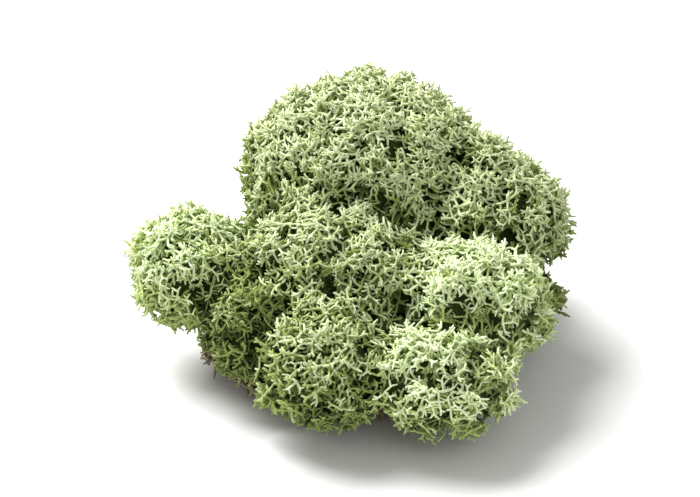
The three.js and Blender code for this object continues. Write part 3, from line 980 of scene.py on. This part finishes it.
# %% Laying stems along the underside
LONG_STEMS = 800
STEM_SEED = 21
STEM_SCALES = (0.6, 1.05)
START_SPAN = 0.66  # stems begin within this share of the underside's area
HEADING_DOUBT = 0.9  # radians
STEM_DROP = (-0.3, 0.8)  # mm that a stem lies below the mat's underside
EDGE_INSET = 2.5 * MM
OVERHANG = 4.5 * MM  # how far a stem may reach past the edge of the mat's underside
EDGE_RISE = 0.7  # how steeply the stems curve up past that edge
EDGE_HEIGHT = 7 * MM  # taken where no underside is found
BELOW_ALL = -5 * MM  # where the rays that look for the underside start
TINY = 0.01 * MM  # stands for a radius of nothing, so that it can be divided by
MAT_EDGE = max(abs(v.co.x) for v in mat_core.data.vertices) - EDGE_INSET
DEAD_TINTS = (0.08, 0.92)
DEAD_LIMITS = (0.05, 0.95)
STEM_LIGHT = (0.2, 0.7)  # place between root and tip colour at a stem's foot,
STEM_TIP_LIGHT = 0.2  # and what its tip adds


def underside(x, y):
    """Height of the mat's underside there. Past its edge the stems curve up."""
    radius = max(math.hypot(x, y), TINY)
    inner = min(1, MAT_EDGE / radius)
    hit = mat_wall.ray_cast(Vector((x * inner, y * inner, BELOW_ALL)), Vector((0, 0, 1)))[0]
    return (hit.z if hit else EDGE_HEIGHT) + max(0, radius - MAT_EDGE) * EDGE_RISE


def dead_tints(dice, count):
    """A tint for a dead stem or twig, with a little change from point to point."""
    return dice.uniform(*DEAD_TINTS) + dice.uniform(-BARE_GRAIN, BARE_GRAIN, count)


tangle = empty_pile()
laid = 0
dice = np.random.default_rng(STEM_SEED)
for _ in range(LONG_STEMS):
    kit = stem_kit[dice.integers(STEM_KINDS)]
    aside, lift, along = (kit["points"] * dice.uniform(*STEM_SCALES)).T
    start = MAT_EDGE * math.sqrt(dice.uniform(0, START_SPAN))
    bearing = dice.uniform(0, 2 * math.pi)
    heading = bearing + dice.normal(0, HEADING_DOUBT)
    x = start * math.cos(bearing) + along * math.cos(heading) - aside * math.sin(heading)
    y = start * math.sin(bearing) + along * math.sin(heading) + aside * math.cos(heading)
    if np.hypot(x, y).max() > MAT_EDGE + OVERHANG:
        continue
    heights = np.array([underside(*place) for place in zip(x, y)]) + lift - dice.uniform(*STEM_DROP) * MM
    heights += max(0, LOWEST - heights.min())
    tints = dead_tints(dice, len(x))
    light = dice.uniform(*STEM_LIGHT) + STEM_TIP_LIGHT * along / kit["top"]
    light += dice.normal(0, POINT_SPREAD, len(x))
    add_to(tangle, kit, np.stack([x, y, heights], 1), np.stack([tints, light.clip(*DEAD_LIMITS)], 1))
    laid += 1
print("long stems laid:", laid, "of", LONG_STEMS)

# %% [markdown]
# Where the mat's rim shows between the heads and the floor, dead twigs stick out. They stand on the core of
# the mat, which is sunk a little and dark, as the cores of the heads are: partly the dead stems' own dark
# colour and partly painted shade between the stems.

# %% Twigs round the rim, and the mat's dark core
TWIG_SPACING = 2.5 * MM
TWIG_SEED = 31
TWIG_PROBE = 2.5 * MM
UNDER_HEADS = -1.0 * MM  # a twig this far inside the heads' skin would never be seen
RIM_START = 0.72  # the rim begins at this share of the underside's radius
FACES_UP = 0.9  # where the mat faces up more than this, heads cover it
LOWEST_TWIG = 1 * MM
TWIG_SCALES = (0.6, 0.95)
TWIG_ROOT = 4.5 * MM  # how far a twig's root stands in the mat
TWIG_UP = 0.5  # how much a twig follows the mat's own direction beside the way outwards
TWIG_WOBBLE = 0.3
TWIG_LIGHT = (0.25, 0.5)  # place between root and tip colour at a twig's foot, and what its tip adds
TWIG_SPREAD = 0.08
MAT_CORE_DEPTH = 0.6 * MM
MAT_CORE_TINT = (0.5, 0.3)
MAT_CORE_LIGHT = (0.08, 0.1)

twigs = 0
for spot, out in zip(*even_points(mat_core.data, TWIG_SPACING, TWIG_SEED)):
    probe = Vector(spot + out * TWIG_PROBE)
    hit, normal, _, _ = skin_wall.find_nearest(probe)
    hidden = out[2] > FACES_UP or (probe - hit).dot(normal) < UNDER_HEADS
    on_rim = math.hypot(spot[0], spot[1]) > RIM_START * MAT_EDGE
    if hidden or not on_rim or probe.z < LOWEST_TWIG:
        continue
    kit = twig_kit[dice.integers(TWIG_KINDS)]
    outward = np.array([spot[0], spot[1], 0]) / np.hypot(spot[0], spot[1])
    turned, lean = stood_on(dice, out * TWIG_UP + outward, TWIG_WOBBLE)
    scale = dice.uniform(*TWIG_SCALES)
    points = kit["points"] * scale @ turned + spot - lean * TWIG_ROOT
    tints = dead_tints(dice, len(points))
    light = TWIG_LIGHT[0] + TWIG_LIGHT[1] * kit["points"][:, 2] / kit["top"]
    light += dice.normal(0, TWIG_SPREAD)
    add_to(tangle, kit, points, np.stack([tints, light.clip(*DEAD_LIMITS)], 1))
    twigs += 1

# The mat's core: dark, partly the dead stems' own colour and partly painted shade between them.
core_places = np.array([v.co - v.normal * MAT_CORE_DEPTH for v in mat_core.data.vertices])
core_uv = core_map(dice, bumps_at(core_places), MAT_CORE_TINT, MAT_CORE_LIGHT)
add_to(tangle, faces_of(mat_core.data), core_places, core_uv)
mat_piece = make_piece("stem_mat_tangle", tangle)
mat_piece.data.materials.append(finishes["stems"])
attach(mat_piece, "root")
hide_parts("stem_mat")
print("twigs:", twigs, "mat triangles:", triangles_in(tangle))
for spent in (clump_skin, mat_core, *cores.values()):
    bpy.data.objects.remove(spent)

# %% [markdown]
# ## The studio
# A large soft lamp high at the back left makes the tops bright and lets the lower sides fall into shade. A
# weak one fills in from the front right, and a white surrounding keeps the shade open. The floor is plain
# and pale.

# %% Floor and light
FLOOR_SIZE = 6
FLOOR_COLOUR = (0.86, 0.86, 0.85, 1)
FLOOR_ROUGHNESS = 0.8
SURROUND_STRENGTH = 0.45

bpy.ops.mesh.primitive_plane_add(size=FLOOR_SIZE, location=(0, 0, 0))
floor = bpy.context.object
floor.name = "floor"
floor_paint = bpy.data.materials.new("floor_paint")
floor_paint.use_nodes = True
floor_shader = floor_paint.node_tree.nodes["Principled BSDF"]
floor_shader.inputs["Base Color"].default_value = FLOOR_COLOUR
floor_shader.inputs["Roughness"].default_value = FLOOR_ROUGHNESS
floor.data.materials.append(floor_paint)


def softbox(name, place, size, power):
    """A square lamp that shines at the middle of the clump."""
    data = bpy.data.lights.new(name, "AREA")
    data.size, data.energy = size, power
    lamp = bpy.data.objects.new(name, data)
    bpy.context.scene.collection.objects.link(lamp)
    lamp.location = place
    lamp.rotation_euler = (Vector(place) - middle).to_track_quat("Z", "Y").to_euler()


softbox("key_light", place=(-0.5, 0.4, 0.95), size=0.8, power=26)
softbox("fill_light", place=(0.5, -1.0, 0.7), size=0.9, power=4)
world = bpy.data.worlds.new("studio")
bpy.context.scene.world = world
world.use_nodes = True
surround = world.node_tree.nodes["Background"]
surround.inputs["Color"].default_value = (1, 1, 1, 1)
surround.inputs["Strength"].default_value = SURROUND_STRENGTH
bpy.context.scene.view_settings.view_transform = "Standard"
